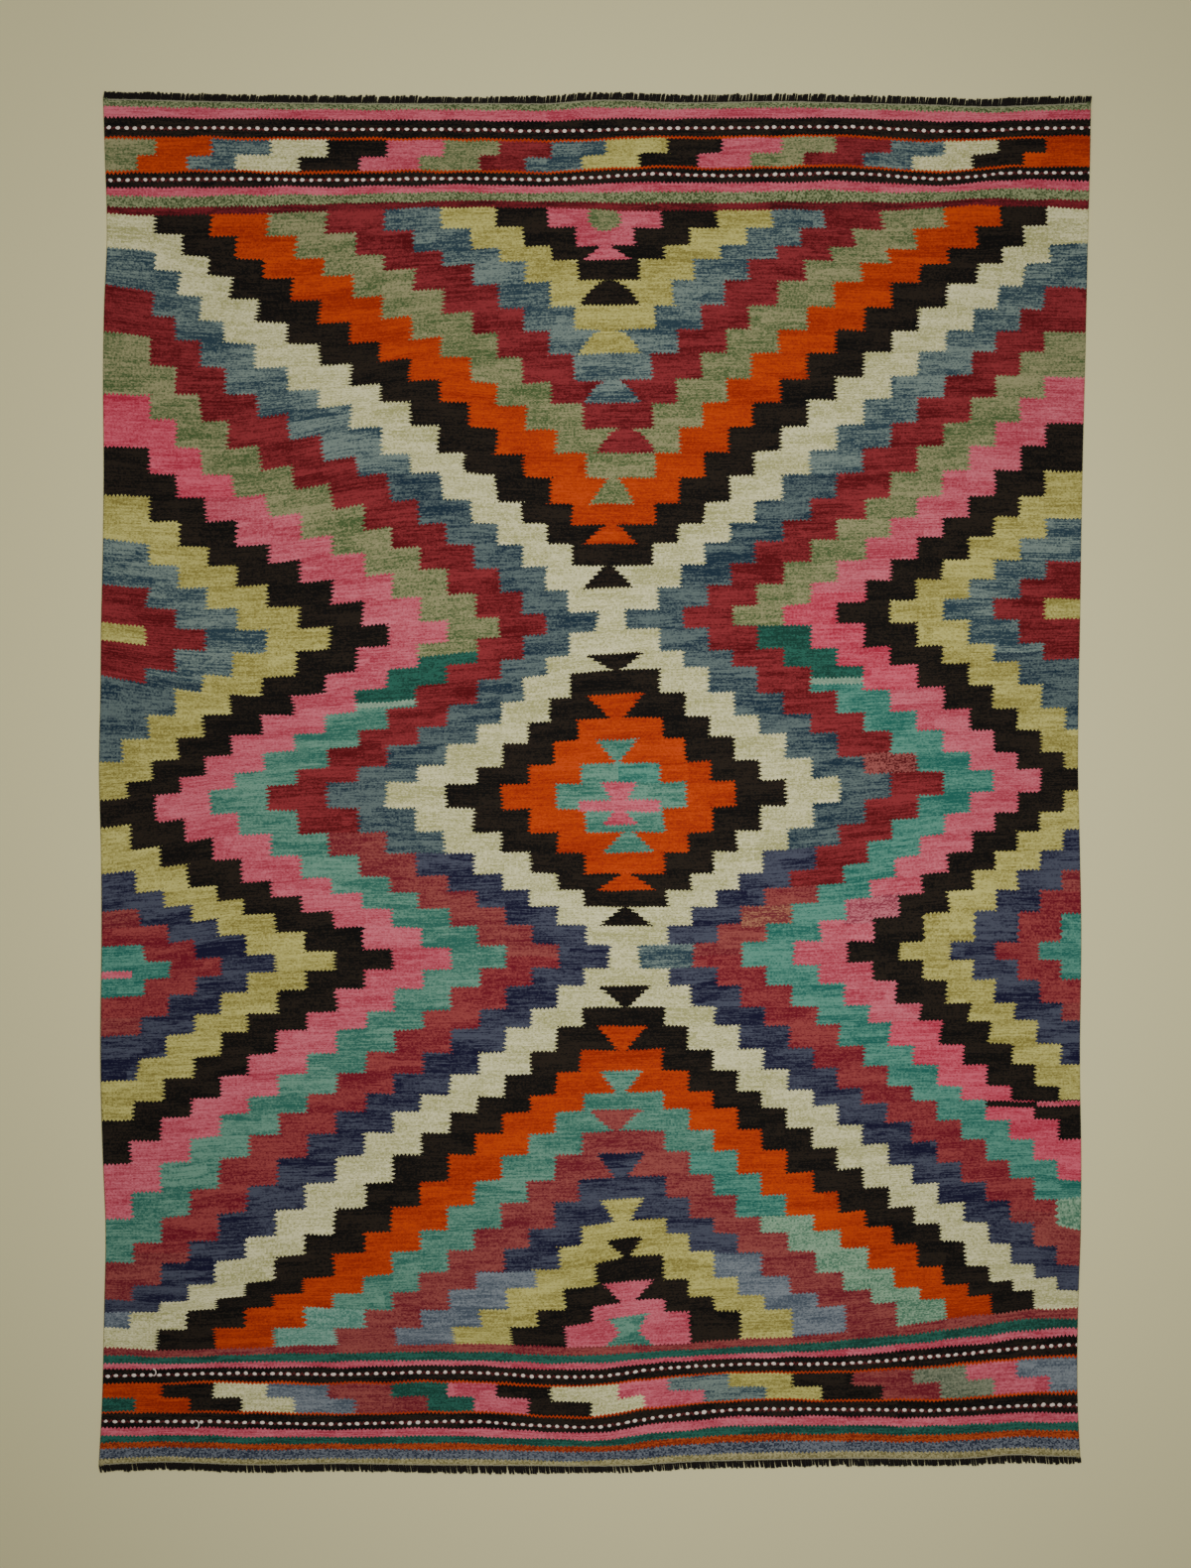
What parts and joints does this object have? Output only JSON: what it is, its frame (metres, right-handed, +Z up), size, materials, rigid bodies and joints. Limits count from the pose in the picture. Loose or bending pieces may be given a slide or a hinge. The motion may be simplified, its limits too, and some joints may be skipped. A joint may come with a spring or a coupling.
{
  "type": "kilim rug",
  "caption": "Flat-woven wool rug with stepped diamonds and striped end bands, thicker selvedges and overcast ends, lying flat.",
  "frame": {"origin": "on the floor, at the middle of the rug's bounding box", "axes": "+X across the rug along the weft, +Y along the warps towards the upper end, +Z up out of the face"},
  "size_m": [1.5, 2.089, 0.003],
  "materials": {
    "kilim_wool": "dyed wool, weft-faced tapestry weave",
    "edging_yarn": "dark brown-black wool yarn, overcast"
  },
  "bodies": {
    "root": {"rug_cloth": "kilim_wool", "edging_upper": "edging_yarn", "edging_lower": "edging_yarn"}
  },
  "joints": []
}
